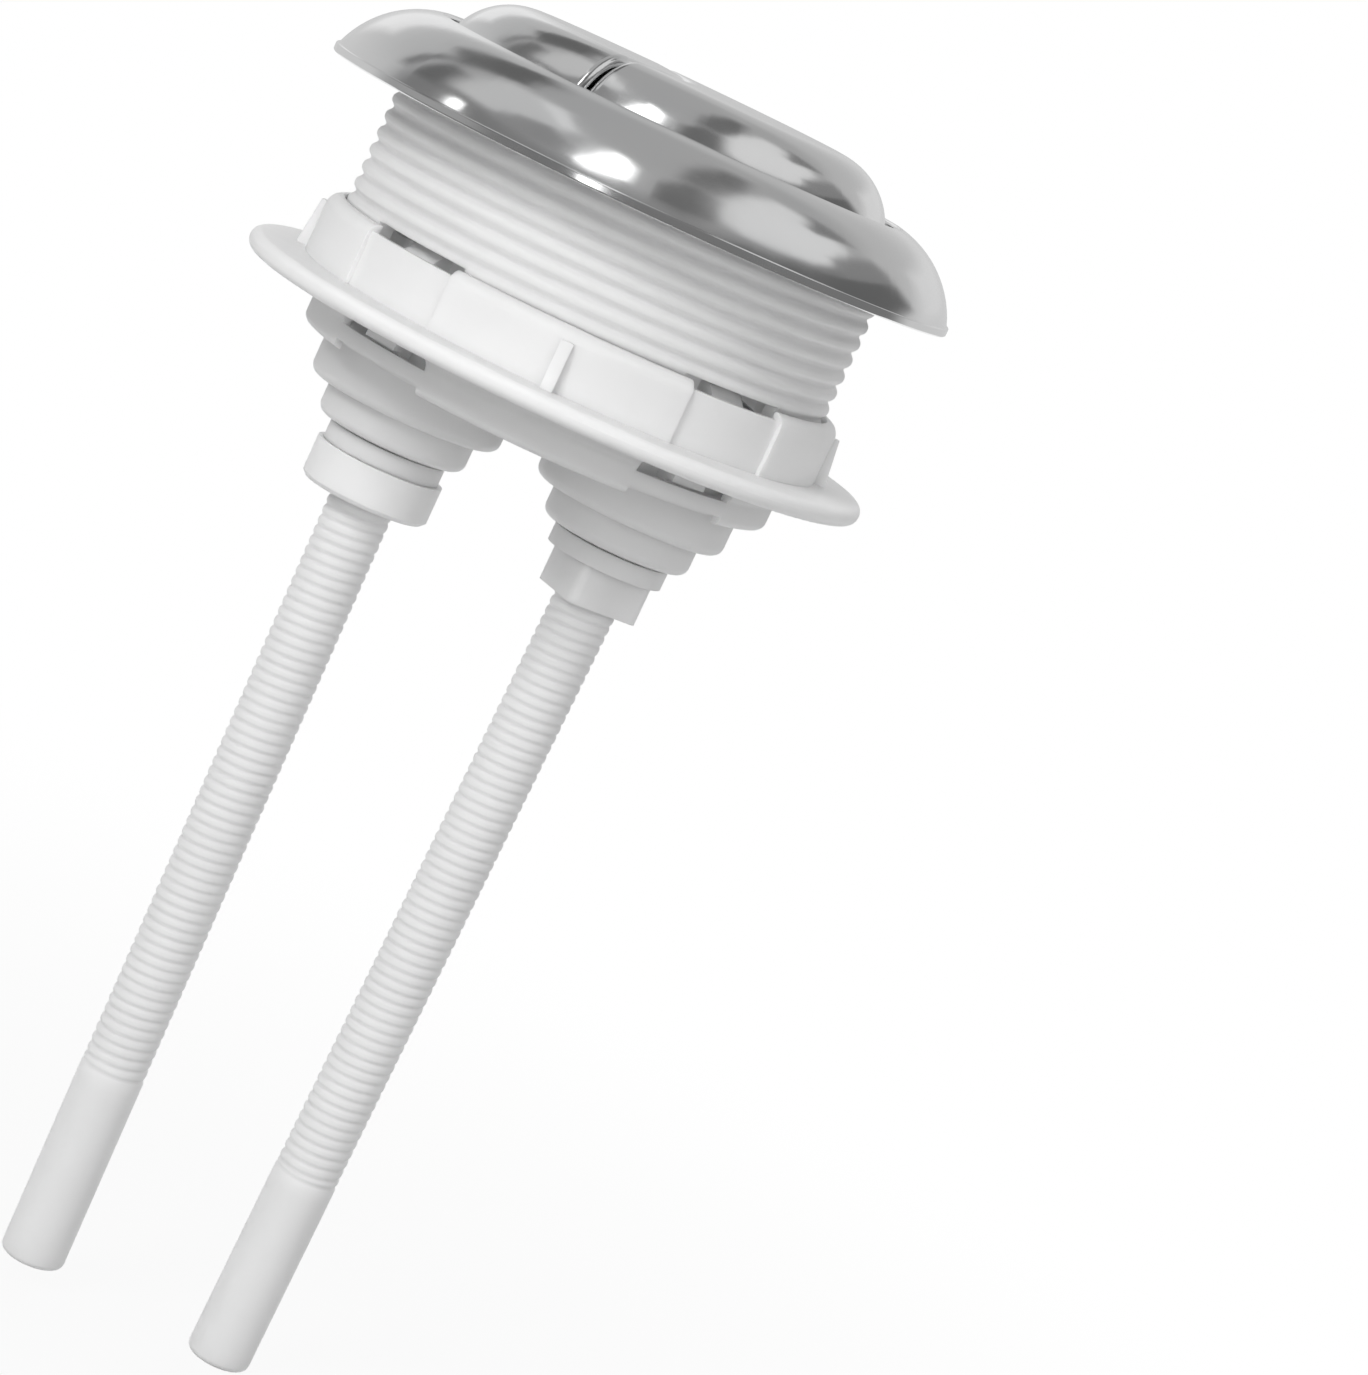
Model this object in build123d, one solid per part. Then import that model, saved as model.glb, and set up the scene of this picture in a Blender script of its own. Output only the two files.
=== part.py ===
"""Dual flush push button actuator for a cistern lid.

Millimetres, +Z up along the barrel. The origin is the middle of the bezel's seat on the lid. The half flush side
is -X, the full flush side is +X, and the front is -Y.
"""
import os
from math import cos, radians, sin

from build123d import *

# Fits between pieces
RUNNING_GAP = 0.3
SEAT_GAP = 0.05
TOUCH = 0.01

# Barrel: outside thread on top, plain lead-in below it
THREAD_RADIUS = 29.0
THREAD_PITCH = 2.0
THREAD_DEPTH = 0.6
GROOVE_FLOOR = 0.4
GROOVE_MOUTH = 1.5
GROOVE_OVERCUT = 0.2
BARREL_LENGTH = 28.0
LEAD_IN_LENGTH = 2.8
BARREL_WALL = 2.0
LEAD_IN_STEP = 1.0
LEAD_IN_ROUND = 0.8
NECK_WALL = 1.2
NECK_HEIGHT = 6.0

# Windows in the barrel, measured round from the front and the back, and turned a little about its axis
WINDOW_CENTRE = 40.0
WINDOW_WIDTH = 28.0
WINDOW_TURN = -3.0
WINDOW_HEIGHT = 11.6
WINDOW_BAND_HEIGHT = 1.75
WINDOW_BAND_STEP = 1.0

# Bezel
BEZEL_RADIUS = 37.0
BEZEL_CROWN = 8.6
BEZEL_WALL = 1.8
CROWN_SLOPE = 8.7
MOAT_WIDTH = 0.9
CROWN_ROUND = 0.4
RIM_LIP_HEIGHT = 1.0
RIM_LIP_PROUD = 0.3
RIM_ROUND = 0.2
SLEEVE_WALL = 1.75

# Buttons
BUTTON_GAP = 0.5
BUTTON_TOP = 13.1
SHOULDER_ROUND = 8.3
CAP_WALL = 1.6
SKIRT_END = -2.0
CAP_BOSS_WALL = 1.9

# S-shaped split between the buttons: an arc at the back that runs into a flatter arc at the front
SPLIT_GAP = 0.4
SPLIT_BULGE_X = -0.2
SPLIT_BULGE_Y = 5.5
SPLIT_ARC_RADIUS = 33.0
SPLIT_BACK_TURN = 60.0
SPLIT_FRONT_TURN = 22.0
SPLIT_FRONT_ANGLE = 25.2
SPLIT_OVERRUN = 2.3
SPLIT_EDGE_ROUND = 1.0
EDGE_NEAR_START = 0.2
EDGE_NEAR_END = 0.7

# Floor of the barrel and its two stepped guide bosses
PLUNGER_OUTSET = 0.2
FLOOR_RECESS = 0.6
FLOOR_THICKNESS = 2.0
UPPER_STEP_RADIUS = 11.35
UPPER_STEP_LENGTH = 5.0
LOWER_STEP_RADIUS = 8.8
LOWER_STEP_LENGTH = 3.7
STEP_ROUND = 1.1
STEP_WALL = 1.6

# Snap arms that hold the floor in the barrel
ARM_WIDTH = 4.6
ARM_THICKNESS = 1.5
HOOK_PROUD = 1.0

# Plungers
PLUNGER_RADIUS = 6.0
PLUNGER_BORE = 4.6
PLUNGER_BORE_TOP = 2.0
HEAD_RADIUS = 9.5
HEAD_THICKNESS = 1.7
HEAD_TOP = 6.2
SPIGOT_RADIUS = 5.0
SPIGOT_HEIGHT = 3.8

# Return springs
SPRING_RADIUS = 8.6
SPRING_WIRE = 1.1
SPRING_TURNS = 6

# Washers and lock nuts on the rods
WASHER_RADIUS = 6.9
WASHER_THICKNESS = 2.2
ROD_NUT_HEIGHT = 4.7
ROD_NUT_GAP = 0.1
COLLAR_RADIUS = 7.5
COLLAR_CHAMFER = 0.5
SQUARE_NUT_SIDE = 9.2
SQUARE_NUT_ROUND = 1.0
SQUARE_NUT_TURN = 26.0

# Push rods, which lean towards each other in the slack of their sockets
ROD_RADIUS = 3.75
ROD_END_RADIUS = 3.8
ROD_END_LENGTH = 24.2
RUN_OUT_WIDTH = 0.8
RUN_OUT_DEPTH = 0.4
ROD_LEAN = 0.9
ROD_ENGAGEMENT = 17.0
ROD_TIP_ROUND = 0.8
HALF_ROD_REACH = 140.1
FULL_ROD_REACH = 142.3

# Lock nut on the barrel, flange down, where it came to rest when it was screwed up
LOCK_NUT_TOP = -14.0
LOCK_NUT_TURN = -2.6
SECTOR_HEIGHT = 6.95
SECTOR_WALL = 1.6
SECTOR_ROUND = 1.5
RELIEF_CENTRE = 39.2
RELIEF_WIDTH = 24.6
RELIEF_WALL = 1.1
RELIEF_DROP = 0.8
FLANGE_RADIUS = 37.0
FLANGE_THICKNESS = 2.2
FLANGE_ROUND = 1.0
FIN_THICKNESS = 1.4
FIN_FOOT = 1.3
FIN_TIP = 0.6
FIN_DROP = 1.5

# Radii that follow from the barrel's thread
BARREL_BORE = THREAD_RADIUS - BARREL_WALL
LEAD_IN_RADIUS = THREAD_RADIUS - LEAD_IN_STEP
NECK_RADIUS = BARREL_BORE + NECK_WALL
BUTTON_RADIUS = BARREL_BORE - BUTTON_GAP
BEZEL_BORE = BUTTON_RADIUS + MOAT_WIDTH
SPLIT_REACH = 3 * BUTTON_RADIUS
LOCK_NUT_BORE = THREAD_RADIUS + RUNNING_GAP

# Heights that follow from the barrel's length and the pieces stacked under it
THREAD_END = LEAD_IN_LENGTH - BARREL_LENGTH
BAND_END = WINDOW_BAND_STEP - BARREL_LENGTH
WINDOW_BOTTOM = BAND_END + WINDOW_BAND_HEIGHT
WINDOW_TOP = WINDOW_BOTTOM + WINDOW_HEIGHT
FLOOR_BOTTOM = -BARREL_LENGTH + FLOOR_RECESS
FLOOR_TOP = FLOOR_BOTTOM + FLOOR_THICKNESS
UPPER_STEP_END = -BARREL_LENGTH - UPPER_STEP_LENGTH
LOWER_STEP_END = UPPER_STEP_END - LOWER_STEP_LENGTH
SPRING_SEAT = UPPER_STEP_END + STEP_WALL
HEAD_BOTTOM = HEAD_TOP - HEAD_THICKNESS
WASHER_TOP = LOWER_STEP_END - RUNNING_GAP
ROD_NUT_TOP = WASHER_TOP - WASHER_THICKNESS
ROD_NUT_END = ROD_NUT_TOP - ROD_NUT_HEIGHT
FLANGE_TOP = LOCK_NUT_TOP - SECTOR_HEIGHT
FLANGE_BOTTOM = FLANGE_TOP - FLANGE_THICKNESS

# Each plunger stands just outside the middle of its half of the bore
PLUNGER_OFFSET = BARREL_BORE / 2 + PLUNGER_OUTSET

QUARTER_TURN = 90.0
FRONT_AND_BACK = (-QUARTER_TURN, QUARTER_TURN)


def section(r_in, r_out, z_low, z_high):
    """Rectangle of a half section, from one radius to another and one height to another."""
    place = Pos((r_in + r_out) / 2, (z_low + z_high) / 2)
    return Plane.XZ * place * Rectangle(r_out - r_in, z_high - z_low)


def turned(face):
    """Solid of revolution about the barrel's axis."""
    return revolve(face, Axis.Z)


def tube(r_in, r_out, z_low, z_high, x=0.0):
    """Upright tube on an axis at the given X."""
    wall = Circle(r_out) - Circle(r_in)
    return Pos(x, 0, z_low) * extrude(wall, z_high - z_low)


def rod(radius, z_low, z_high, x=0.0):
    """Upright solid cylinder on an axis at the given X."""
    return Pos(x, 0, z_low) * extrude(Circle(radius), z_high - z_low)


def sector(r_in, r_out, z_low, z_high, middle, width):
    """Part of a ring, by the angle of its middle from +X and its width in degrees."""
    return Rot(0, 0, middle - width / 2) * revolve(section(r_in, r_out, z_low, z_high), Axis.Z, width)


def paired_angles(from_front, turn):
    """The four angles that lie to both sides of the front and of the back, all turned by the same angle."""
    return [face + side * from_front + turn for face in FRONT_AND_BACK for side in (-1, 1)]


def rounded(solid, radius, z, x=0.0):
    """The outermost round edge at the given height, with its corner rounded."""
    level = solid.edges().filter_by(GeomType.CIRCLE).filter_by_position(Axis.Z, z - TOUCH, z + TOUCH)
    on_axis = [edge for edge in level if abs(edge.arc_center.X - x) < TOUCH]
    widest = max(edge.radius for edge in on_axis)
    return fillet([edge for edge in on_axis if edge.radius > widest - TOUCH], radius)


def dome_arc():
    """Middle and radius of the bezel's domed section, from the crown's inner edge to the top of the rim's lip."""
    crown = Vector(BEZEL_BORE, BEZEL_CROWN)
    rim = Vector(BEZEL_RADIUS - RIM_LIP_PROUD, RIM_LIP_HEIGHT)
    chord = rim - crown
    upright = Vector(sin(radians(CROWN_SLOPE)), cos(radians(CROWN_SLOPE)))
    radius = -chord.length**2 / (2 * chord.dot(upright))
    return crown - upright * radius, radius


def make_bezel():
    """Hollow domed ring with a lip at its rim and a sleeve that seats on the barrel's neck."""
    middle, radius = dome_arc()
    place = Plane.XZ * Pos(middle.X, middle.Y)
    outside = place * Circle(radius) & section(BEZEL_BORE, BEZEL_RADIUS - RIM_LIP_PROUD, 0, BEZEL_CROWN)
    hollow = place * Circle(radius - BEZEL_WALL)
    sleeve_radius = NECK_RADIUS + SEAT_GAP
    hollow &= section(sleeve_radius + SLEEVE_WALL, BEZEL_RADIUS, 0, BEZEL_CROWN)
    neck_room = section(0, sleeve_radius, 0, NECK_HEIGHT + SEAT_GAP)
    lip = section(BEZEL_RADIUS - BEZEL_WALL, BEZEL_RADIUS, 0, RIM_LIP_HEIGHT)
    ring = turned(outside - hollow - neck_room + lip)
    ring = rounded(ring, RIM_ROUND, 0)
    ring = rounded(ring, RIM_ROUND, RIM_LIP_HEIGHT)
    return rounded(ring, CROWN_ROUND, BEZEL_CROWN)


def make_thread_groove():
    """Helical groove between the ridges of the barrel's thread, run out past both of its ends."""
    path = Helix(THREAD_PITCH, THREAD_PITCH - THREAD_END, THREAD_RADIUS)
    profile = Polyline(
        (-THREAD_DEPTH, -GROOVE_FLOOR / 2),
        (GROOVE_OVERCUT, -GROOVE_MOUTH / 2),
        (GROOVE_OVERCUT, GROOVE_MOUTH / 2),
        (-THREAD_DEPTH, GROOVE_FLOOR / 2),
        close=True,
    )
    start = Plane(origin=path @ 0, x_dir=(1, 0, 0), z_dir=path % 0)
    groove = sweep(start * make_face(profile), path=path, is_frenet=True)
    return Pos(0, 0, THREAD_END - THREAD_PITCH / 2) * groove


def make_barrel():
    """Tube with an outside thread, a neck for the bezel, windows for the snap arms and a plain lower end."""
    wall = section(BARREL_BORE, THREAD_RADIUS, THREAD_END, 0)
    wall += section(BARREL_BORE, LEAD_IN_RADIUS, -BARREL_LENGTH, 0)
    wall += section(BARREL_BORE, NECK_RADIUS, 0, NECK_HEIGHT)
    barrel = rounded(turned(wall), LEAD_IN_ROUND, -BARREL_LENGTH) - make_thread_groove()
    for angle in paired_angles(WINDOW_CENTRE, WINDOW_TURN):
        barrel -= sector(0, 2 * THREAD_RADIUS, WINDOW_BOTTOM, WINDOW_TOP, angle, WINDOW_WIDTH)
        barrel -= sector(0, 2 * THREAD_RADIUS, -2 * BARREL_LENGTH, BAND_END, angle, WINDOW_WIDTH)
    return barrel


def make_snap_arm(angle):
    """Upright arm inside the barrel, with a hook that stands in the window and rests on its lower edge."""
    outer = BARREL_BORE - RUNNING_GAP
    inner = outer - ARM_THICKNESS
    top = WINDOW_TOP - RUNNING_GAP
    hook_bottom = WINDOW_BOTTOM + RUNNING_GAP
    stem = Pos((inner + outer) / 2, 0, FLOOR_TOP) * extrude(Rectangle(ARM_THICKNESS, ARM_WIDTH), top - FLOOR_TOP)
    reach = BARREL_BORE + HOOK_PROUD - inner
    profile = Polyline(
        (inner, hook_bottom),
        (inner + reach, hook_bottom),
        (inner + reach, top - HOOK_PROUD),
        (outer, top),
        (inner, top),
        close=True,
    )
    hook = extrude(Plane.XZ * make_face(profile), ARM_WIDTH / 2, both=True)
    return Rot(0, 0, angle) * (stem + hook)


def make_guide_base():
    """Floor of the barrel with two hollow stepped bosses under it and four snap arms on it."""
    base = rod(BARREL_BORE - RUNNING_GAP, FLOOR_BOTTOM, FLOOR_TOP)
    for x in (-PLUNGER_OFFSET, PLUNGER_OFFSET):
        boss = rod(UPPER_STEP_RADIUS, UPPER_STEP_END, FLOOR_TOP, x)
        boss = rounded(boss, STEP_ROUND, UPPER_STEP_END, x)
        boss += rounded(rod(LOWER_STEP_RADIUS, LOWER_STEP_END, FLOOR_TOP, x), STEP_ROUND, LOWER_STEP_END, x)
        base += boss
        base -= rod(UPPER_STEP_RADIUS - STEP_WALL, SPRING_SEAT, FLOOR_TOP, x)
        base -= rod(PLUNGER_RADIUS + RUNNING_GAP, LOWER_STEP_END, FLOOR_TOP, x)
    for angle in paired_angles(WINDOW_CENTRE, WINDOW_TURN):
        base += make_snap_arm(angle)
    return base


def split_side():
    """Plan of everything on the half flush side of the split."""
    centre = Vector(SPLIT_BULGE_X - SPLIT_ARC_RADIUS, SPLIT_BULGE_Y)
    whole_turn = SPLIT_FRONT_TURN + SPLIT_BACK_TURN
    back = CenterArc(centre, SPLIT_ARC_RADIUS, -SPLIT_FRONT_TURN, whole_turn)
    heading = (-sin(radians(SPLIT_FRONT_TURN)), -cos(radians(SPLIT_FRONT_TURN)))
    reach = BUTTON_RADIUS + SPLIT_OVERRUN
    front_x = -reach * sin(radians(SPLIT_FRONT_ANGLE))
    front_y = -reach * cos(radians(SPLIT_FRONT_ANGLE))
    front = TangentArc(back @ 0, (front_x, front_y), tangent=heading)
    round_the_side = Polyline(
        front @ 1,
        (front_x, -SPLIT_REACH),
        (-SPLIT_REACH, -SPLIT_REACH),
        (-SPLIT_REACH, SPLIT_REACH),
        ((back @ 1).X, SPLIT_REACH),
        back @ 1,
    )
    return make_face(Curve() + [back, front, round_the_side])


def dome_solid(radius, top, shoulder):
    """Round pillow with a flat top and a rounded shoulder, down to the end of the skirt."""
    return fillet(rod(radius, SKIRT_END, top).edges().group_by(Axis.Z)[-1], shoulder)


def is_cap_rim(edge):
    """Whether an edge lies between a cap's outside and its split, and so runs neither round nor inside the cap."""
    start = edge @ EDGE_NEAR_START
    end = edge @ EDGE_NEAR_END
    start_radius = Vector(start.X, start.Y).length
    end_radius = Vector(end.X, end.Y).length
    level = abs(start.Z - end.Z) < TOUCH
    one_radius = abs(start_radius - end_radius) < TOUCH
    at_open_end = level and start.Z < SKIRT_END + TOUCH
    upright_inside = one_radius and start_radius < BUTTON_RADIUS - TOUCH
    return not (level and one_radius) and not at_open_end and not upright_inside


def make_cap(plan, x):
    """Hollow button cap over one side of the split, with a boss that takes the plunger's spigot."""
    height = BUTTON_TOP - SKIRT_END
    outside = offset(plan, -SPLIT_GAP / 2)
    inside = offset(plan, -SPLIT_GAP / 2 - CAP_WALL)
    cap = dome_solid(BUTTON_RADIUS, BUTTON_TOP, SHOULDER_ROUND)
    cap &= Pos(0, 0, SKIRT_END) * extrude(outside, height)
    rims = [edge for edge in cap.edges() if is_cap_rim(edge)]
    cap = fillet(rims, SPLIT_EDGE_ROUND)
    hollow = dome_solid(BUTTON_RADIUS - CAP_WALL, BUTTON_TOP - CAP_WALL, SHOULDER_ROUND - CAP_WALL)
    cap -= hollow & Pos(0, 0, SKIRT_END) * extrude(inside, height)
    socket = SPIGOT_RADIUS + SEAT_GAP
    cap += tube(socket, socket + CAP_BOSS_WALL, HEAD_TOP, BUTTON_TOP - CAP_WALL, x)
    return cap


def make_plunger(x):
    """Tube that slides in a guide boss, with a head that carries the spring and the cap."""
    plunger = rod(PLUNGER_RADIUS, WASHER_TOP, HEAD_TOP, x)
    plunger += rod(HEAD_RADIUS, HEAD_BOTTOM, HEAD_TOP, x)
    plunger += rod(SPIGOT_RADIUS, HEAD_TOP, HEAD_TOP + SPIGOT_HEIGHT, x)
    return plunger - rod(PLUNGER_BORE, WASHER_TOP, PLUNGER_BORE_TOP, x)


def make_spring(x):
    """Coil from its seat in the boss to the underside of the plunger's head."""
    height = HEAD_BOTTOM - SPRING_SEAT - SPRING_WIRE
    coil = Helix(height / SPRING_TURNS, height, SPRING_RADIUS)
    start = Plane(origin=coil @ 0, z_dir=coil % 0)
    wire = sweep(start * Circle(SPRING_WIRE / 2), path=coil)
    return Pos(x, 0, SPRING_SEAT + SPRING_WIRE / 2) * wire


def make_washer(x):
    """Ring that stops the plunger against the lower end of its guide boss."""
    return tube(ROD_END_RADIUS + RUNNING_GAP, WASHER_RADIUS, ROD_NUT_TOP, WASHER_TOP, x)


def make_collar(x):
    """Round lock nut of the half flush rod."""
    collar = rod(COLLAR_RADIUS, ROD_NUT_END, ROD_NUT_TOP, x)
    collar = chamfer(collar.edges().group_by(Axis.Z)[0], COLLAR_CHAMFER)
    return collar - rod(ROD_END_RADIUS + ROD_NUT_GAP, ROD_NUT_END, ROD_NUT_TOP, x)


def make_square_nut(x):
    """Square lock nut of the full flush rod."""
    outline = RectangleRounded(SQUARE_NUT_SIDE, SQUARE_NUT_SIDE, SQUARE_NUT_ROUND)
    nut = Pos(x, 0, ROD_NUT_END) * Rot(0, 0, SQUARE_NUT_TURN) * extrude(outline, ROD_NUT_HEIGHT)
    return nut - rod(ROD_END_RADIUS + ROD_NUT_GAP, ROD_NUT_END, ROD_NUT_TOP, x)


def make_rod(x, reach):
    """Push rod that leans inwards about the middle of its lock nut."""
    pivot = (ROD_NUT_TOP + ROD_NUT_END) / 2
    top = WASHER_TOP + ROD_ENGAGEMENT - pivot
    bottom = -reach - pivot
    end_top = bottom + ROD_END_LENGTH
    thread_end = end_top + RUN_OUT_WIDTH
    threaded = rod(ROD_RADIUS, thread_end, top)
    run_out = rod(ROD_RADIUS - RUN_OUT_DEPTH, end_top, thread_end)
    plain = rod(ROD_END_RADIUS, bottom, end_top)
    straight = run_out + fillet(threaded.edges().group_by(Axis.Z)[-1], ROD_TIP_ROUND)
    straight += fillet(plain.edges().group_by(Axis.Z)[0], ROD_TIP_ROUND)
    lean = ROD_LEAN if x < 0 else -ROD_LEAN
    return Pos(x, 0, pivot) * Rot(0, -lean, 0) * straight


def make_fin(angle):
    """Grip fin on the lock nut, deeper at its foot than at its top."""
    root = LOCK_NUT_BORE + RELIEF_WALL / 2
    face = LOCK_NUT_BORE + SECTOR_WALL
    profile = Polyline(
        (root, FLANGE_TOP - FLANGE_THICKNESS / 2),
        (face + FIN_FOOT, FLANGE_TOP - FLANGE_THICKNESS / 2),
        (face + FIN_FOOT, FLANGE_TOP),
        (face + FIN_TIP, LOCK_NUT_TOP - FIN_DROP),
        (root, LOCK_NUT_TOP - FIN_DROP),
        close=True,
    )
    return Rot(0, 0, angle) * extrude(Plane.XZ * make_face(profile), FIN_THICKNESS / 2, both=True)


def make_lock_nut():
    """Flanged ring with four thread sectors, a fin on each, and four relieved stretches between them."""
    flange = tube(LOCK_NUT_BORE, FLANGE_RADIUS, FLANGE_BOTTOM, FLANGE_TOP)
    flange = rounded(flange, FLANGE_ROUND, FLANGE_TOP)
    flange = rounded(flange, FLANGE_ROUND, FLANGE_BOTTOM)
    sector_radius = LOCK_NUT_BORE + SECTOR_WALL
    relief_radius = LOCK_NUT_BORE + RELIEF_WALL
    ring = tube(LOCK_NUT_BORE, sector_radius, FLANGE_BOTTOM, LOCK_NUT_TOP)
    ring = rounded(ring, SECTOR_ROUND, LOCK_NUT_TOP)
    for angle in paired_angles(RELIEF_CENTRE, LOCK_NUT_TURN):
        ring -= sector(relief_radius, 2 * sector_radius, FLANGE_TOP, LOCK_NUT_TOP, angle, RELIEF_WIDTH)
        ring -= sector(0, 2 * sector_radius, LOCK_NUT_TOP - RELIEF_DROP, LOCK_NUT_TOP, angle, RELIEF_WIDTH)
    nut = flange + ring
    for quarter in range(4):
        nut += make_fin(quarter * QUARTER_TURN + LOCK_NUT_TURN)
    return nut


def make_pieces():
    """Every piece of the actuator by name."""
    half_plan = split_side()
    full_plan = Rectangle(2 * SPLIT_REACH, 2 * SPLIT_REACH) - half_plan
    half_x = -PLUNGER_OFFSET
    full_x = PLUNGER_OFFSET
    return {
        "bezel_ring": make_bezel(),
        "threaded_body": make_barrel(),
        "guide_base": make_guide_base(),
        "lock_nut": make_lock_nut(),
        "half_flush_button": make_cap(half_plan, half_x),
        "full_flush_button": make_cap(full_plan, full_x),
        "half_flush_plunger": make_plunger(half_x),
        "full_flush_plunger": make_plunger(full_x),
        "half_flush_spring": make_spring(half_x),
        "full_flush_spring": make_spring(full_x),
        "half_flush_washer": make_washer(half_x),
        "full_flush_washer": make_washer(full_x),
        "half_flush_nut": make_collar(half_x),
        "full_flush_nut": make_square_nut(full_x),
        "half_flush_rod": make_rod(half_x, HALF_ROD_REACH),
        "full_flush_rod": make_rod(full_x, FULL_ROD_REACH),
    }


os.makedirs("parts", exist_ok=True)
for name, piece in make_pieces().items():
    piece.label = name
    export_step(piece, f"parts/{name}.step")
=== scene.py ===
"""Looks of a dual flush push button actuator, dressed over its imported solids."""
from bisect import bisect_left
from math import ceil, cos, radians, sin, tau
from typing import NamedTuple

import bmesh
import bpy
from mathutils import Matrix, Vector


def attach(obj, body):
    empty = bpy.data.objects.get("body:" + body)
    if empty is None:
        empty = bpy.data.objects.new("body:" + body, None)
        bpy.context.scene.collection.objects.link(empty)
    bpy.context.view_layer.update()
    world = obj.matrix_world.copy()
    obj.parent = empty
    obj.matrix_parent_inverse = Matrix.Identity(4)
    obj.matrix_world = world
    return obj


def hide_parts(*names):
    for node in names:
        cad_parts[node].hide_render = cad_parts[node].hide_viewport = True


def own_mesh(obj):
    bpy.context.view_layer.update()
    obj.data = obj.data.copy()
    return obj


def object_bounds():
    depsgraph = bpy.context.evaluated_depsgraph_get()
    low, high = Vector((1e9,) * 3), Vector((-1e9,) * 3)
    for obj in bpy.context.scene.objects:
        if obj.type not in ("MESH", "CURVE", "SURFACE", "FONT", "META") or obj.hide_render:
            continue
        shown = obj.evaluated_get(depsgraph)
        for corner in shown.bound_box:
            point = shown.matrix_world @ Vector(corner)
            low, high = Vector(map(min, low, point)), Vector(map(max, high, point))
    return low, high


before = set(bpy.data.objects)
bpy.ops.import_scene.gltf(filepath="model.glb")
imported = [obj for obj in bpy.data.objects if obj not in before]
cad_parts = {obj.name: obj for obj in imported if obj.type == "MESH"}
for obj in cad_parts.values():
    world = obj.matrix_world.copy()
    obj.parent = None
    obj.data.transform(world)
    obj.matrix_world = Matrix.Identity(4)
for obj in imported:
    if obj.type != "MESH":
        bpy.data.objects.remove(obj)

CAD_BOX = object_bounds()
MM = 0.001
FULL_TURN = 360

# Photograph's frame and the camera that fits it, in pixels, millimetres and degrees
PHOTO_WIDTH = 1368
PHOTO_HEIGHT = 1375
FOCAL_PIXELS = 4069.0
SENSOR = 36.0
CAMERA_DISTANCE = 450.0
CAMERA_HEIGHT = 22.7
CAMERA_SIDE = -15.1
CAMERA_PITCH = 8.91
CAMERA_YAW = 5.44
CAMERA_ROLL = 25.42
CAMERA_CLIP = 10.0

# Edges that bend by more than this many degrees stay sharp
SHARP_ANGLE = 38.0
ROD_SHARP_ANGLE = 50.0

# Barrel, as in the solids, with its thread, in millimetres and degrees
BARREL_BORE = 27.0
THREAD_CREST = 29.0
THREAD_PITCH = 2.0
THREAD_DEPTH = 0.55
THREAD_SHARPNESS = 1.5
THREAD_END = -25.2
THREAD_FADE = 1.4
LEAD_IN_RADIUS = 28.0
LEAD_IN_ROUND = 0.8
BARREL_END = -28.0
NECK_RADIUS = 28.2
NECK_TOP = 6.0
WINDOW_FACES = (90, 270)
WINDOW_CENTRE = 40.0
WINDOW_WIDTH = 28.0
WINDOW_TURN = -3.0
WINDOW_TOP = -13.65
WINDOW_BOTTOM = -25.25
BAND_END = -27.0
BARREL_STEP = 1.3
THREAD_ROWS = 12
LEVEL_TOLERANCE = 0.001

# Push rods, as in the solids, with their thread, in millimetres and degrees
ROD_OFFSET = 13.7
ROD_PIVOT = -41.55
ROD_TOP = -20.0
ROD_LEAN = 0.9
ROD_CREST = 3.75
ROD_PITCH = 1.25
ROD_GROOVE = 0.19
ROD_SHARPNESS = 2.2
ROD_END_RADIUS = 3.8
ROD_END_LENGTH = 24.2
ROD_RUN_OUT = 0.8
ROD_RUN_OUT_MEAN = 0.75
ROD_RUN_OUT_SWING = 0.25
ROD_ROUND = 0.8
ROD_ROUND_ANGLES = (0, 25, 45, 65)
ROD_PLAIN_STEP = 1.5
ROD_ROWS = 10
ROD_COLUMNS = 56
HALF_ROD_REACH = 140.1
FULL_ROD_REACH = 142.3

# Return springs, in millimetres
SPRING_RADIUS = 8.6
SPRING_WIRE = 1.1
SPRING_LOW = -31.4
SPRING_HIGH = 4.5
SPRING_TURNS = 7.5
SPRING_CLOSED = 0.9
SPRING_STEPS = 28
SPRING_SIDES = 9

# Noise in the materials: scales per metre, and the range of its values that counts
NOISE_DETAIL = 2.0
CLOUD_SCALE = 90.0
CLOUD_DETAIL = 3.0
CLOUD_RANGE = (0.3, 0.7)
GLOSS_SCALE = 420.0
GLOSS_RANGE = (0.25, 0.75)
COARSE_GRAIN_SCALE = 650.0
FINE_GRAIN_SCALE = 3600.0
GRAIN_SHARE = 0.5
GRAIN_STRENGTH = 0.04
GRAIN_HEIGHT = 0.00012
PLASTIC_IOR = 1.49
HAZE_SCALE = 160.0
HAZE_DETAIL = 4.0
HAZE_RANGE = (0.35, 0.75)
HAZE_ROUGHNESS = (0.12, 0.19)
PLATING_SCALE = 60.0
PLATING_RANGE = (0.3, 0.7)
PLATING_DARK = (0.81, 0.815, 0.82, 1.0)
PLATING_LIGHT = (0.84, 0.84, 0.84, 1.0)
WAVE_SCALE = 120.0
WAVE_STRENGTH = 0.02
WAVE_HEIGHT = 0.0004
STREAK_SCALE = 900.0
STREAK_DETAIL = 3.0
STREAK_RANGE = (0.3, 0.7)
WIRE_ROUGHNESS = (0.22, 0.4)
WIRE_DARK = (0.46, 0.46, 0.47, 1.0)
WIRE_LIGHT = (0.6, 0.6, 0.61, 1.0)

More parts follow.
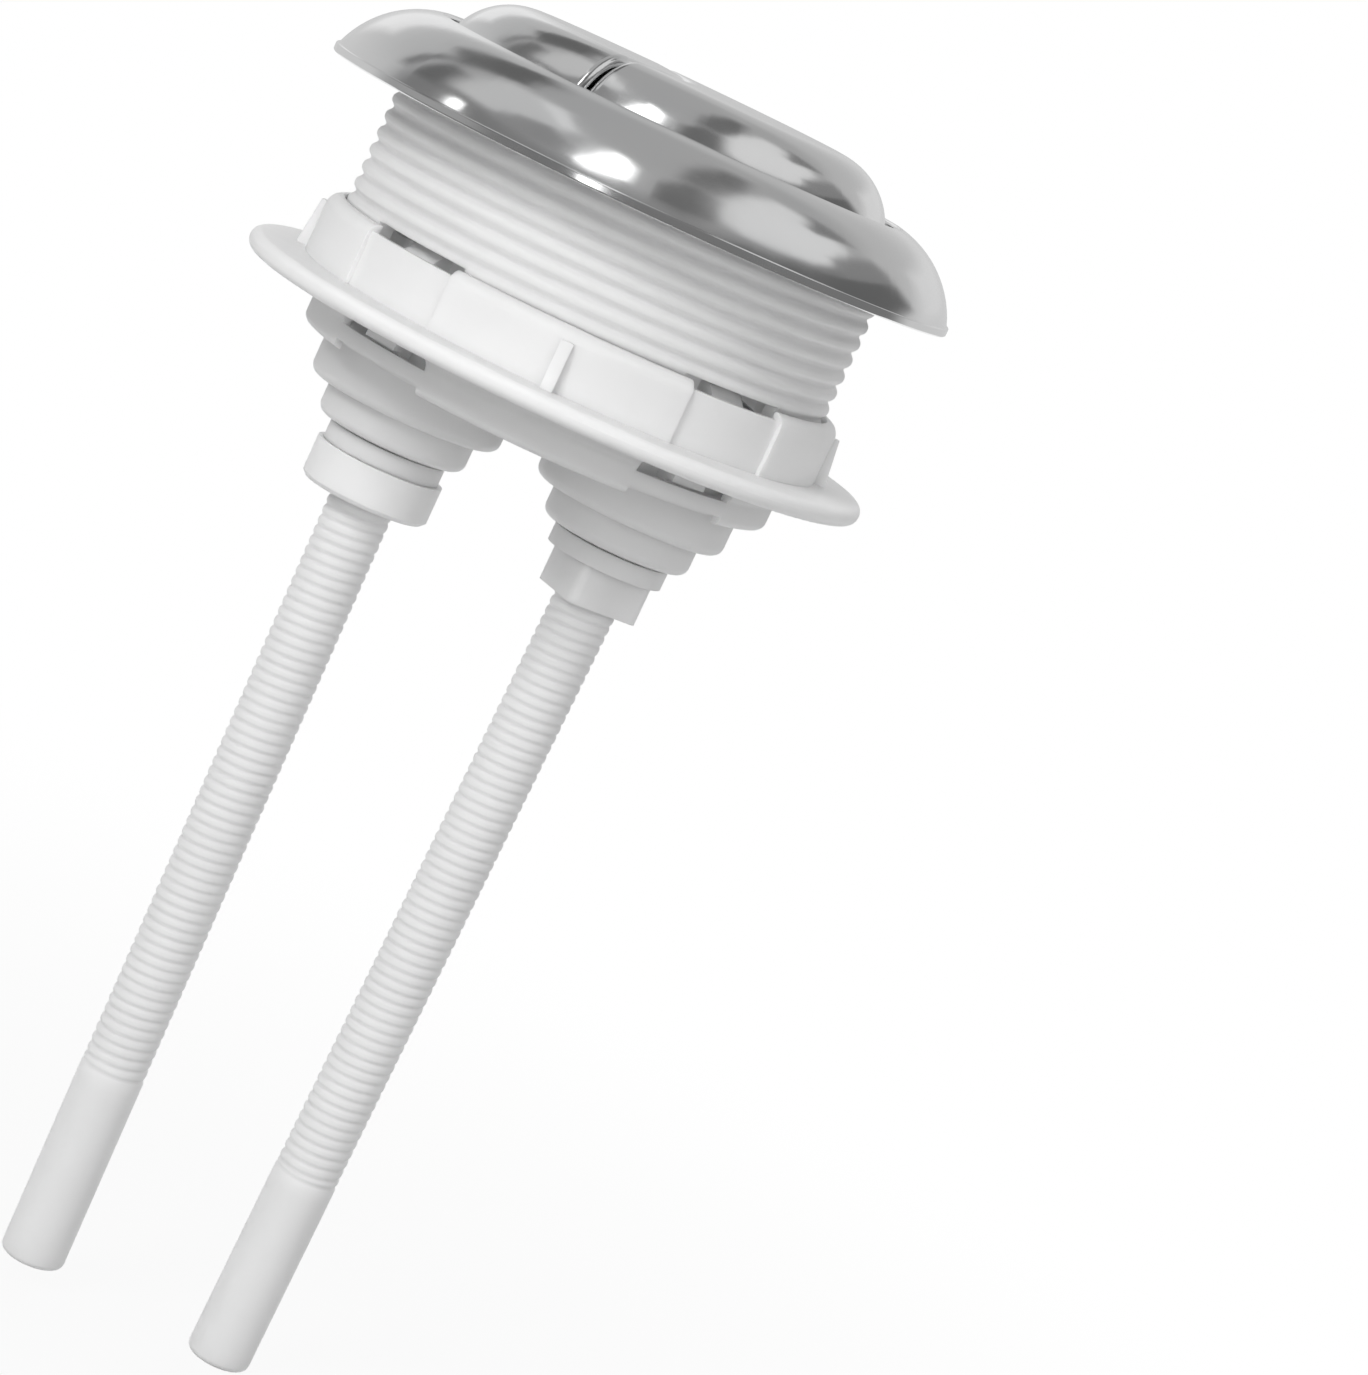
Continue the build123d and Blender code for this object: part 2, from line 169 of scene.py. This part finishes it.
# Studio room that the chrome mirrors: levels, and the ranges of a direction's parts over which they change
WHITE = 1.0
SOFT_LIGHT = 0.38
FOOT_LEFT = 0.36
FOOT_RIGHT = 0.19
FOOT_RANGE = (-0.96, -0.80)
NEAR_WALL = 0.21
NEAR_RISE = (0.0, 0.5)
FAR_WALL_LOW = 0.64
FAR_WALL_HIGH = 0.50
FAR_RISE = (0.1, 0.6)
FAR_RANGE = (0.25, 0.5)
CEILING = 0.40
CEILING_RISE = (0.60, 0.76)

# Floor, in metres: its own tone, and the share of plain white over it by the distance from the origin
FLOOR_SIZE = 1.4
FLOOR_TONE = 0.45
FLOOR_WHITE_RANGE = (0.10, 0.30)
FLOOR_WHITE_SHARE = (0.92, 1.0)

# Distances of the studio cards from the origin, in metres
CARD_DISTANCE = 2.4
CARD_STEP = 0.05
LOW_FLAG_DISTANCE = 0.16


class Lamp(NamedTuple):
    """Soft square lamp, in metres and watts."""

    name: str
    place: tuple
    target: tuple
    size: float
    power: float


class Card(NamedTuple):
    """Studio card or softbox, by the directions of its corners.

    A direction is in degrees to the right of the front and in degrees above the level. The card's edge fades
    over the share soft of the way to its middle, inwards and outwards.
    """

    name: str
    level: float
    soft: float
    corners: tuple
    distance: float = 0.0


# What the lamps point at, in metres
BELOW_NUT = (0, 0, -0.03)
IN_BARREL = (0, 0, -0.019)
LAMPS = (
    Lamp("key", (-0.71, -0.97, 0.68), BELOW_NUT, size=0.45, power=9.2),
    Lamp("fill", (0.70, -0.90, 0.20), BELOW_NUT, size=0.60, power=1.85),
    Lamp("front", (-0.30, -1.20, 0.0), BELOW_NUT, size=0.60, power=2.3),
    Lamp("back", (0.35, 1.20, 0.35), BELOW_NUT, size=0.60, power=7.0),
    Lamp("top", (0.1, 0.05, 0.9), (0, 0, 0), size=0.9, power=2.0),
    Lamp("inner_front", (0, -0.021, -0.019), IN_BARREL, size=0.006, power=0.0016),
    Lamp("inner_back", (0, 0.021, -0.019), IN_BARREL, size=0.006, power=0.0016),
)

# Each card stands a step nearer than the one before it and so covers it. The low flags stand close to the
# object, where they darken what the bezel's lip mirrors.
CARDS = (
    Card("back_left_wall", 0.88, 0.3, ((-160, 9), (-177, 9), (-175, 24), (-150, 22))),
    Card("back_right_wall", 0.72, 0.3, ((173, 9), (152, 8), (130, 14), (142, 27))),
    Card("front_flag", 0.15, 0.25, ((163, 59), (158, 58), (105, 73), (52, 69), (30, 78), (135, 81))),
    Card("right_softbox", 0.72, 0.12, ((141, 61), (126, 51), (115, 46), (104, 46), (88, 41), (78, 40),
                                       (59, 42), (45, 45), (37, 51), (38, 61), (56, 71), (104, 73))),
    Card("right_softbox_core", 0.95, 0.35, ((101, 58), (93, 50), (82, 46), (61, 48), (54, 55))),
    Card("right_tooth", 0.2, 0.2, ((141, 54), (128, 45), (107, 58))),
    Card("right_block", 0.24, 0.15, ((126, 40), (122, 19), (112, 19), (92, 25), (92, 37), (95, 45))),
    Card("right_foot", 0.13, 0.12, ((26, 22), (70, 16), (126, 18), (122, 30), (104, 32), (80, 35),
                                    (56, 36), (36, 39))),
    Card("left_softbox", 0.56, 0.14, ((-99, 39), (-111, 48), (-130, 57), (-124, 71), (-59, 65), (-53, 56),
                                      (-73, 44))),
    Card("left_streak", 0.72, 0.3, ((-118, 65), (-121, 70), (-60, 69), (-63, 64))),
    Card("front_block", 0.15, 0.2, ((35, 76), (51, 69), (30, 46), (16, 43), (2, 44), (5, 62))),
    Card("left_low_block", 0.27, 0.2, ((-75, 41), (-73, 54), (-63, 61), (-42, 54), (-39, 44), (-58, 41))),
    Card("left_foot", 0.14, 0.2, ((-66, 8), (-30, 6), (-30, 24), (-66, 30))),
    Card("back_left_wedge", 0.13, 0.15, ((-172, 38), (-151, 39), (-127, 45), (-140, 59), (-165, 49))),
    Card("left_finger", 0.14, 0.2, ((-127, 45), (-112, 48), (-100, 33), (-111, 29))),
    Card("left_post", 0.18, 0.3, ((-131, 44), (-117, 29), (-122, 27), (-138, 43))),
    Card("strip_lamp", 2.4, 0.08, ((-33, 73), (-20, 71), (-12, 66), (-10, 57), (-10, 49), (-18, 45),
                                   (-27, 43), (-33, 45), (-31, 57), (-31, 68))),
    Card("left_lamp", 3.0, 0.25, ((-87, 30), (-87, 36), (-83, 35), (-80, 31))),
    Card("low_flag_left", 0.17, 0.02, ((-93, -7), (-31, -7), (-31, -74), (-93, -74)), LOW_FLAG_DISTANCE),
    Card("low_flag_front", 0.17, 0.02, ((-31, -7), (31, -7), (31, -74), (-31, -74)), LOW_FLAG_DISTANCE),
    Card("low_flag_right", 0.17, 0.02, ((31, -7), (93, -7), (93, -74), (31, -74)), LOW_FLAG_DISTANCE),
    Card("low_front_lamp", 5.0, 0.3, ((-22, -4), (-15, -4), (-15, 3), (-22, 3))),
)


def smoothstep(low, high, value):
    """0 below low, 1 above high, smooth between them."""
    share = min(max((value - low) / (high - low), 0.0), 1.0)
    return share * share * (3 - 2 * share)


def spread(breaks, step):
    """Values from the first break to the last with every break among them, and no gap wider than step."""
    values = []
    for low, high in zip(breaks, breaks[1:]):
        count = max(1, ceil((high - low) / step))
        values += [low + (high - low) * i / count for i in range(count)]
    return values + [breaks[-1]]


def polar(radius, angle, z):
    """Point by its radius, its angle from +X in degrees and its height, from millimetres to metres."""
    turn = radians(angle)
    return Vector((radius * cos(turn), radius * sin(turn), z)) * MM


def add_piece(name, bm, material, body, node, sharp=SHARP_ANGLE):
    """Object from a bmesh, smooth but for its sharp edges, that rides on a body and stands for a CAD node."""
    bmesh.ops.recalc_face_normals(bm, faces=bm.faces)
    mesh = bpy.data.meshes.new(name)
    bm.to_mesh(mesh)
    bm.free()
    mesh.shade_smooth()
    mesh.set_sharp_from_angle(angle=radians(sharp))
    mesh.materials.append(material)
    piece = bpy.data.objects.new(name, mesh)
    bpy.context.scene.collection.objects.link(piece)
    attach(piece, body)
    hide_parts(node)
    return piece


def groove_depth(phase, sharpness):
    """Share of a thread's depth at a phase of its pitch: 1 in the groove, 0 over the broad round crest."""
    return (0.5 + 0.5 * cos(tau * phase)) ** sharpness


def corner_drop(height, corner):
    """How far a rounded corner lies inside its full radius, at a height above the end."""
    short = max(corner - height, 0.0)
    return corner - max(corner**2 - short**2, 0.0) ** 0.5


def barrel_radius(angle, z):
    """Outer radius of the barrel below the bezel."""
    depth = THREAD_DEPTH * groove_depth(z / THREAD_PITCH - angle / FULL_TURN, THREAD_SHARPNESS)
    threaded = THREAD_CREST - depth
    plain = LEAD_IN_RADIUS - corner_drop(z - BARREL_END, LEAD_IN_ROUND)
    fade = smoothstep(THREAD_END, THREAD_END + THREAD_FADE, z)
    return plain + (threaded - plain) * fade


def make_barrel(material):
    """Barrel with its outside thread, its neck, its windows and the notches below them."""
    half_width = WINDOW_WIDTH / 2
    middles = [face + side * WINDOW_CENTRE + WINDOW_TURN for face in WINDOW_FACES for side in (-1, 1)]
    windows = [(middle - half_width, middle + half_width) for middle in middles]
    breaks = sorted(edge for window in windows for edge in window)
    edges = spread(breaks + [breaks[0] + FULL_TURN], BARREL_STEP)
    in_window = [any(low < (a + b) / 2 < high for low, high in windows) for a, b in zip(edges, edges[1:])]
    angles = edges[:-1]
    count = len(angles)
    inner_levels = [BARREL_END, BAND_END, WINDOW_BOTTOM, WINDOW_TOP, NECK_TOP]
    levels = spread(inner_levels[:-1] + [0.0], THREAD_PITCH / THREAD_ROWS)
    bm = bmesh.new()
    outer = [[bm.verts.new(polar(barrel_radius(a, z), a, z)) for a in angles] for z in levels]
    outer += [[bm.verts.new(polar(NECK_RADIUS, a, z)) for a in angles] for z in (0.0, NECK_TOP)]
    inner = [[bm.verts.new(polar(BARREL_BORE, a, z)) for a in angles] for z in inner_levels]

    def row_at(z):
        """Outer row at a height."""
        return bisect_left(levels, z - LEVEL_TOLERANCE)

    def is_open(column, low, high):
        """Whether a column has a hole between two heights."""
        middle = (low + high) / 2
        return in_window[column] and (middle < BAND_END or WINDOW_BOTTOM < middle < WINDOW_TOP)

    def skin(rows, heights):
        """Faces from row to row, but for the holes."""
        for r, (low, high) in enumerate(zip(heights, heights[1:])):
            for c in range(count):
                if not is_open(c, low, high):
                    n = (c + 1) % count
                    bm.faces.new((rows[r][c], rows[r][n], rows[r + 1][n], rows[r + 1][c]))

    def ledge(outer_row, inner_row, wanted):
        """Flat faces from an outer row to an inner one, in the wanted columns."""
        for c in range(count):
            if wanted(c):
                n = (c + 1) % count
                bm.faces.new((outer_row[c], outer_row[n], inner_row[n], inner_row[c]))

    skin(outer, levels + [0.0, NECK_TOP])
    skin(inner, inner_levels)
    ledge(outer[0], inner[0], lambda c: not in_window[c])
    for place, z in enumerate((BAND_END, WINDOW_BOTTOM, WINDOW_TOP), start=1):
        ledge(outer[row_at(z)], inner[place], lambda c: in_window[c])
    ledge(outer[-1], inner[-1], lambda c: True)
    # Side walls of the notches below the band and of the windows above it
    for c in range(count):
        if in_window[c] != in_window[c - 1]:
            for low, high in ((0, 1), (2, 3)):
                rows = range(row_at(inner_levels[low]), row_at(inner_levels[high]) + 1)
                bm.faces.new([outer[r][c] for r in rows] + [inner[high][c], inner[low][c]])
    loose = [v for v in bm.verts if not v.link_faces]
    bmesh.ops.delete(bm, geom=loose, context="VERTS")
    add_piece("barrel_thread", bm, material, "housing", "threaded_body")


def rod_radius(angle, z, bottom):
    """Radius of a push rod at a height, with its lower end at bottom: plain end, run-out, then thread."""
    end_top = bottom + ROD_END_LENGTH
    thread_start = end_top + ROD_RUN_OUT
    if z <= end_top:
        return ROD_END_RADIUS - corner_drop(z - bottom, ROD_ROUND)
    phase = z / ROD_PITCH - angle / FULL_TURN
    threaded = ROD_CREST - ROD_GROOVE * groove_depth(phase, ROD_SHARPNESS)
    start = smoothstep(thread_start - ROD_RUN_OUT, thread_start + ROD_RUN_OUT, z)
    ring = groove_depth((z - end_top - ROD_RUN_OUT / 2) / (2 * ROD_RUN_OUT), ROD_SHARPNESS)
    depth = ROD_GROOVE * (ROD_RUN_OUT_MEAN + ROD_RUN_OUT_SWING * cos(radians(angle)))
    run_out = ROD_END_RADIUS - depth * ring if z < thread_start + ROD_RUN_OUT / 2 else ROD_CREST
    return min(threaded * start + ROD_END_RADIUS * (1 - start), run_out)


def make_rod(name, side, reach, material, body, node):
    """Threaded push rod that leans inwards about the middle of its lock nut."""
    top = ROD_TOP - ROD_PIVOT
    bottom = -reach - ROD_PIVOT
    round_rows = [bottom + ROD_ROUND * (1 - cos(radians(a))) for a in ROD_ROUND_ANGLES]
    end_top = bottom + ROD_END_LENGTH
    plain = spread([bottom + ROD_ROUND, end_top], ROD_PLAIN_STEP)
    thread = spread([end_top, top - ROD_ROUND], ROD_PITCH / ROD_ROWS)
    levels = round_rows + plain + thread[1:]
    angles = [FULL_TURN * i / ROD_COLUMNS for i in range(ROD_COLUMNS)]
    bm = bmesh.new()
    rows = [[bm.verts.new(polar(rod_radius(a, z, bottom), a, z)) for a in angles] for z in levels]
    rows.append([bm.verts.new(polar(ROD_CREST - ROD_ROUND, a, top)) for a in angles])
    for low, high in zip(rows, rows[1:]):
        for c in range(ROD_COLUMNS):
            n = (c + 1) % ROD_COLUMNS
            bm.faces.new((low[c], low[n], high[n], high[c]))
    bm.faces.new(rows[0][::-1])
    bm.faces.new(rows[-1])
    lean = Matrix.Rotation(radians(side * ROD_LEAN), 4, "Y")
    bm.transform(Matrix.Translation(Vector((side * ROD_OFFSET, 0, ROD_PIVOT)) * MM) @ lean)
    add_piece(name, bm, material, body, node, sharp=ROD_SHARP_ANGLE)


def coil_height(turn):
    """Height of a spring's wire after a number of turns, with a closed coil at each end."""
    low = SPRING_LOW + SPRING_WIRE / 2
    high = SPRING_HIGH - SPRING_WIRE / 2
    closed_rise = SPRING_CLOSED * SPRING_WIRE
    if turn < SPRING_CLOSED:
        return low + closed_rise * turn / SPRING_CLOSED
    if turn > SPRING_TURNS - SPRING_CLOSED:
        return high - closed_rise * (SPRING_TURNS - turn) / SPRING_CLOSED
    share = (turn - SPRING_CLOSED) / (SPRING_TURNS - 2 * SPRING_CLOSED)
    return low + closed_rise + (high - low - 2 * closed_rise) * share


def make_spring(name, side, material, node):
    """Coil spring on the housing, with a closed coil at each end."""
    bm = bmesh.new()
    steps = int(SPRING_TURNS * SPRING_STEPS)
    rings = []
    for i in range(steps + 1):
        turn = SPRING_TURNS * i / steps
        z = coil_height(turn)
        ring = []
        for k in range(SPRING_SIDES):
            around = tau * k / SPRING_SIDES
            radius = SPRING_RADIUS + SPRING_WIRE / 2 * cos(around)
            point = polar(radius, FULL_TURN * turn, z + SPRING_WIRE / 2 * sin(around))
            ring.append(bm.verts.new(point + Vector((side * ROD_OFFSET * MM, 0, 0))))
        rings.append(ring)
    for first, second in zip(rings, rings[1:]):
        for k in range(SPRING_SIDES):
            n = (k + 1) % SPRING_SIDES
            bm.faces.new((first[k], first[n], second[n], second[k]))
    bm.faces.new(rings[0])
    bm.faces.new(rings[-1])
    piece = add_piece(name, bm, material, "housing", node)
    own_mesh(piece)


class Nodes:
    """Short way to add and join shader nodes."""

    def __init__(self, tree):
        self.tree = tree

    def add(self, kind, values=None, **settings):
        """Node with settings, and with a value or another node's socket on each named input."""
        node = self.tree.nodes.new(kind)
        for key, value in settings.items():
            setattr(node, key, value)
        for key, value in (values or {}).items():
            self.put(node.inputs[key], value)
        return node

    def put(self, socket, value):
        """A value on an input, or a link to it."""
        if isinstance(value, bpy.types.NodeSocket):
            self.tree.links.new(value, socket)
        else:
            socket.default_value = value

    def math(self, operation, *values):
        """Result of an operation on numbers or sockets."""
        return self.add("ShaderNodeMath", dict(enumerate(values)), operation=operation).outputs[0]

    def between(self, value, span, result=(0.0, 1.0)):
        """A value's way through a span, smoothed, as a number in the result's range."""
        values = {"Value": value, "From Min": span[0], "From Max": span[1],
                  "To Min": result[0], "To Max": result[1]}
        return self.add("ShaderNodeMapRange", values, interpolation_type="SMOOTHSTEP").outputs["Result"]

    def mix(self, factor, first, second):
        """Colour between two others."""
        node = self.add("ShaderNodeMix", data_type="RGBA")
        for name, value in (("Factor_Float", factor), ("A_Color", first), ("B_Color", second)):
            self.put(next(s for s in node.inputs if s.identifier == name), value)
        return next(s for s in node.outputs if s.identifier == "Result_Color")

    def noise(self, scale, detail=NOISE_DETAIL):
        """Noise fixed to the object."""
        place = self.add("ShaderNodeTexCoord").outputs["Object"]
        values = {"Vector": place, "Scale": scale, "Detail": detail}
        return self.add("ShaderNodeTexNoise", values).outputs["Fac"]

    def bump(self, height, strength, distance):
        """Normal of a surface that a height roughens, by up to a distance in metres."""
        values = {"Strength": strength, "Distance": distance, "Height": height}
        return self.add("ShaderNodeBump", values).outputs["Normal"]

    def surface(self, shader):
        """The material's own look."""
        self.add("ShaderNodeOutputMaterial", {"Surface": shader.outputs[0]})


def grey(level):
    """Neutral colour of a level."""
    return (level, level, level, 1.0)


def new_material(name):
    """Material with an empty node tree."""
    material = bpy.data.materials.new(name)
    material.use_nodes = True
    tree = material.node_tree
    tree.nodes.clear()
    return material, Nodes(tree)


def make_plastic(name, light, shade, roughness, depth):
    """Moulded plastic: faint cloudy tint, uneven satin gloss, fine grain, and light that enters a little."""
    material, nodes = new_material(name)
    cloud = nodes.between(nodes.noise(CLOUD_SCALE, CLOUD_DETAIL), CLOUD_RANGE)
    colour = nodes.mix(cloud, grey(shade), grey(light))
    gloss = nodes.between(nodes.noise(GLOSS_SCALE), GLOSS_RANGE, roughness)
    coarse = nodes.math("MULTIPLY", nodes.noise(COARSE_GRAIN_SCALE), GRAIN_SHARE)
    fine = nodes.math("MULTIPLY", nodes.noise(FINE_GRAIN_SCALE), 1 - GRAIN_SHARE)
    height = nodes.math("ADD", coarse, fine)
    bump = nodes.bump(height, GRAIN_STRENGTH, GRAIN_HEIGHT)
    nodes.surface(nodes.add("ShaderNodeBsdfPrincipled", {
        "Base Color": colour, "Roughness": gloss, "Normal": bump, "IOR": PLASTIC_IOR,
        "Subsurface Weight": 1.0, "Subsurface Radius": (1.0, 1.0, 1.0), "Subsurface Scale": depth,
    }))
    return material


def make_chrome():
    """Bright plating over a moulding: mirror gloss with faint haze and the moulding's slight waves."""
    material, nodes = new_material("chrome")
    haze = nodes.between(nodes.noise(HAZE_SCALE, HAZE_DETAIL), HAZE_RANGE, HAZE_ROUGHNESS)
    cloud = nodes.between(nodes.noise(PLATING_SCALE), PLATING_RANGE)
    tint = nodes.mix(cloud, PLATING_DARK, PLATING_LIGHT)
    bump = nodes.bump(nodes.noise(WAVE_SCALE), WAVE_STRENGTH, WAVE_HEIGHT)
    nodes.surface(nodes.add("ShaderNodeBsdfPrincipled", {
        "Base Color": tint, "Metallic": 1.0, "Roughness": haze, "Normal": bump,
    }))
    return material


def make_steel():
    """Drawn spring wire: darker metal with fine streaks."""
    material, nodes = new_material("spring_wire")
    streaks = nodes.noise(STREAK_SCALE, STREAK_DETAIL)
    gloss = nodes.between(streaks, STREAK_RANGE, WIRE_ROUGHNESS)
    tint = nodes.mix(streaks, WIRE_DARK, WIRE_LIGHT)
    nodes.surface(nodes.add("ShaderNodeBsdfPrincipled", {
        "Base Color": tint, "Metallic": 1.0, "Roughness": gloss,
    }))
    return material


def make_camera():
    """Camera at the photograph's viewing angle, tilted as the photograph is."""
    yaw, pitch, roll = radians(CAMERA_YAW), radians(CAMERA_PITCH), radians(CAMERA_ROLL)
    forward = Vector((sin(yaw) * cos(pitch), cos(yaw) * cos(pitch), -sin(pitch)))
    right = Vector((cos(yaw), -sin(yaw), 0))
    up = right.cross(forward)
    data = bpy.data.cameras.new("camera")
    data.sensor_width = SENSOR
    data.lens = FOCAL_PIXELS * SENSOR / max(PHOTO_WIDTH, PHOTO_HEIGHT)
    data.clip_start = CAMERA_CLIP * MM
    camera = bpy.data.objects.new("camera", data)
    bpy.context.scene.collection.objects.link(camera)
    x_axis = cos(roll) * right + sin(roll) * up
    y_axis = -sin(roll) * right + cos(roll) * up
    turn = Matrix((x_axis, y_axis, -forward)).transposed().to_4x4()
    place = Vector((CAMERA_SIDE, -CAMERA_DISTANCE, CAMERA_HEIGHT)) * MM
    camera.matrix_world = Matrix.Translation(place) @ turn
    bpy.context.scene.camera = camera


def make_world():
    """White to the camera, an even soft grey light on the object, and a studio room in the chrome."""
    world = bpy.data.worlds.new("studio")
    bpy.context.scene.world = world
    world.use_nodes = True
    world.node_tree.nodes.clear()
    nodes = Nodes(world.node_tree)
    path = nodes.add("ShaderNodeLightPath")
    way = nodes.add("ShaderNodeTexCoord").outputs["Generated"]
    split = nodes.add("ShaderNodeSeparateXYZ", {0: way})
    rise = split.outputs["Z"]
    foot = nodes.mix(nodes.between(split.outputs["X"], FOOT_RANGE), grey(FOOT_LEFT), grey(FOOT_RIGHT))
    near = nodes.mix(nodes.between(rise, NEAR_RISE), foot, grey(NEAR_WALL))
    far = nodes.mix(nodes.between(rise, FAR_RISE), grey(FAR_WALL_LOW), grey(FAR_WALL_HIGH))
    wall = nodes.mix(nodes.between(split.outputs["Y"], FAR_RANGE), near, far)
    room = nodes.mix(nodes.between(rise, CEILING_RISE), wall, grey(CEILING))
    seen = nodes.mix(path.outputs["Is Glossy Ray"], grey(SOFT_LIGHT), room)
    seen = nodes.mix(path.outputs["Is Transmission Ray"], seen, grey(WHITE))
    seen = nodes.mix(path.outputs["Is Camera Ray"], seen, grey(WHITE))
    background = nodes.add("ShaderNodeBackground", {"Color": seen, "Strength": 1.0})
    nodes.add("ShaderNodeOutputWorld", {"Surface": background.outputs[0]})


def make_floor():
    """Pale floor under the rods' tips, white to the camera and in the chrome, with a faint shadow."""
    material, nodes = new_material("floor")
    path = nodes.add("ShaderNodeLightPath")
    shown = nodes.math("MAXIMUM", path.outputs["Is Camera Ray"], path.outputs["Is Glossy Ray"])
    shown = nodes.math("MAXIMUM", shown, path.outputs["Is Transmission Ray"])
    matt = nodes.add("ShaderNodeBsdfDiffuse", {"Color": grey(FLOOR_TONE)})
    white = nodes.add("ShaderNodeEmission", {"Color": grey(WHITE), "Strength": 1.0})
    place = nodes.add("ShaderNodeTexCoord").outputs["Object"]
    away = nodes.add("ShaderNodeVectorMath", {0: place}, operation="LENGTH").outputs["Value"]
    share = nodes.math("MULTIPLY", shown, nodes.between(away, FLOOR_WHITE_RANGE, FLOOR_WHITE_SHARE))
    nodes.surface(nodes.add("ShaderNodeMixShader", {0: share, 1: matt.outputs[0], 2: white.outputs[0]}))
    mesh = bpy.data.meshes.new("floor")
    half = FLOOR_SIZE / 2
    level = CAD_BOX[0][2]
    corners = [(-half, -half, level), (half, -half, level), (half, half, level), (-half, half, level)]
    mesh.from_pydata(corners, [], [(0, 1, 2, 3)])
    mesh.materials.append(material)
    floor = bpy.data.objects.new("floor", mesh)
    bpy.context.scene.collection.objects.link(floor)


def aim(place, target):
    """Turn that points an object's -Z from a place to a target."""
    return (Vector(target) - Vector(place)).to_track_quat("-Z", "Y").to_matrix().to_4x4()


def add_lamp(lamp):
    """Lamp that the chrome doesn't show."""
    data = bpy.data.lights.new(lamp.name, "AREA")
    data.size = lamp.size
    data.energy = lamp.power
    piece = bpy.data.objects.new(lamp.name, data)
    piece.matrix_world = Matrix.Translation(lamp.place) @ aim(lamp.place, lamp.target)
    piece.visible_glossy = False
    bpy.context.scene.collection.objects.link(piece)


def direction(azimuth, elevation):
    """Unit vector by its angle to the right of the front and its angle above the level, in degrees."""
    turn, rise = radians(azimuth), radians(elevation)
    return Vector((sin(turn) * cos(rise), -cos(turn) * cos(rise), sin(rise)))


def add_card(card, distance):
    """Card with a soft edge, at a distance from the origin, that only reflections show."""
    material, nodes = new_material(card.name)
    cover = nodes.add("ShaderNodeAttribute", attribute_name="cover").outputs["Fac"]
    clear = nodes.add("ShaderNodeBsdfTransparent")
    glow = nodes.add("ShaderNodeEmission", {"Color": grey(WHITE), "Strength": card.level})
    nodes.surface(nodes.add("ShaderNodeMixShader", {0: cover, 1: clear.outputs[0], 2: glow.outputs[0]}))
    points = [direction(*corner) * distance for corner in card.corners]
    count = len(points)
    middle = sum(points, Vector()) / count
    inner = [middle + (point - middle) * (1 - card.soft) for point in points]
    outer = [middle + (point - middle) * (1 + card.soft) for point in points]
    faces = [(i, (i + 1) % count, 2 * count) for i in range(count)]
    faces += [(i, count + i, count + (i + 1) % count, (i + 1) % count) for i in range(count)]
    mesh = bpy.data.meshes.new(card.name)
    mesh.from_pydata(inner + outer + [middle], [], faces)
    values = mesh.attributes.new("cover", "FLOAT", "POINT").data
    values.foreach_set("value", [1.0] * count + [0.0] * count + [1.0])
    mesh.materials.append(material)
    piece = bpy.data.objects.new(card.name, mesh)
    bpy.context.scene.collection.objects.link(piece)
    piece.visible_camera = False
    piece.visible_diffuse = False
    piece.visible_transmission = False
    piece.visible_shadow = False


def make_studio():
    """Lamps for the plastics and cards for the chrome."""
    for lamp in LAMPS:
        add_lamp(lamp)
    for i, card in enumerate(CARDS):
        add_card(card, card.distance or CARD_DISTANCE - CARD_STEP * i)


def dress(material, *nodes):
    """New material on the CAD nodes' own surfaces."""
    for node in nodes:
        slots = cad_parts[node].data.materials
        slots.clear()
        slots.append(material)


CHROME = make_chrome()
# The three plastics are one white moulding in three tones. This is partly the parts' own tone and partly
# painted light: the lock nut's lighter tone stands in for the light its wall catches, and the body's darker
# tone for the shade under the bezel and the flange.
BODY_PLASTIC = make_plastic("body_plastic", light=0.82, shade=0.80, roughness=(0.36, 0.46), depth=0.0015)
NUT_PLASTIC = make_plastic("nut_plastic", light=0.87, shade=0.85, roughness=(0.34, 0.46), depth=0.0012)
ROD_PLASTIC = make_plastic("rod_plastic", light=0.84, shade=0.82, roughness=(0.32, 0.42), depth=0.0008)
STEEL = make_steel()

make_barrel(BODY_PLASTIC)
make_rod("half_flush_screw", -1, HALF_ROD_REACH, ROD_PLASTIC, "half_rod", "half_flush_rod")
make_rod("full_flush_screw", 1, FULL_ROD_REACH, ROD_PLASTIC, "full_rod", "full_flush_rod")
make_spring("half_flush_coil", -1, STEEL, "half_flush_spring")
make_spring("full_flush_coil", 1, STEEL, "full_flush_spring")
dress(CHROME, "bezel_ring", "half_flush_button", "full_flush_button")
# The washers take the body's darker plastic, as their slot does, and the darker tone is also painted shade
# for the shadow they lie in.
dress(BODY_PLASTIC, "guide_base", "half_flush_plunger", "full_flush_plunger", "half_flush_washer",
      "full_flush_washer")
dress(NUT_PLASTIC, "lock_nut", "half_flush_nut", "full_flush_nut")

make_camera()
make_world()
make_floor()
make_studio()
bpy.context.scene.view_settings.view_transform = "Standard"
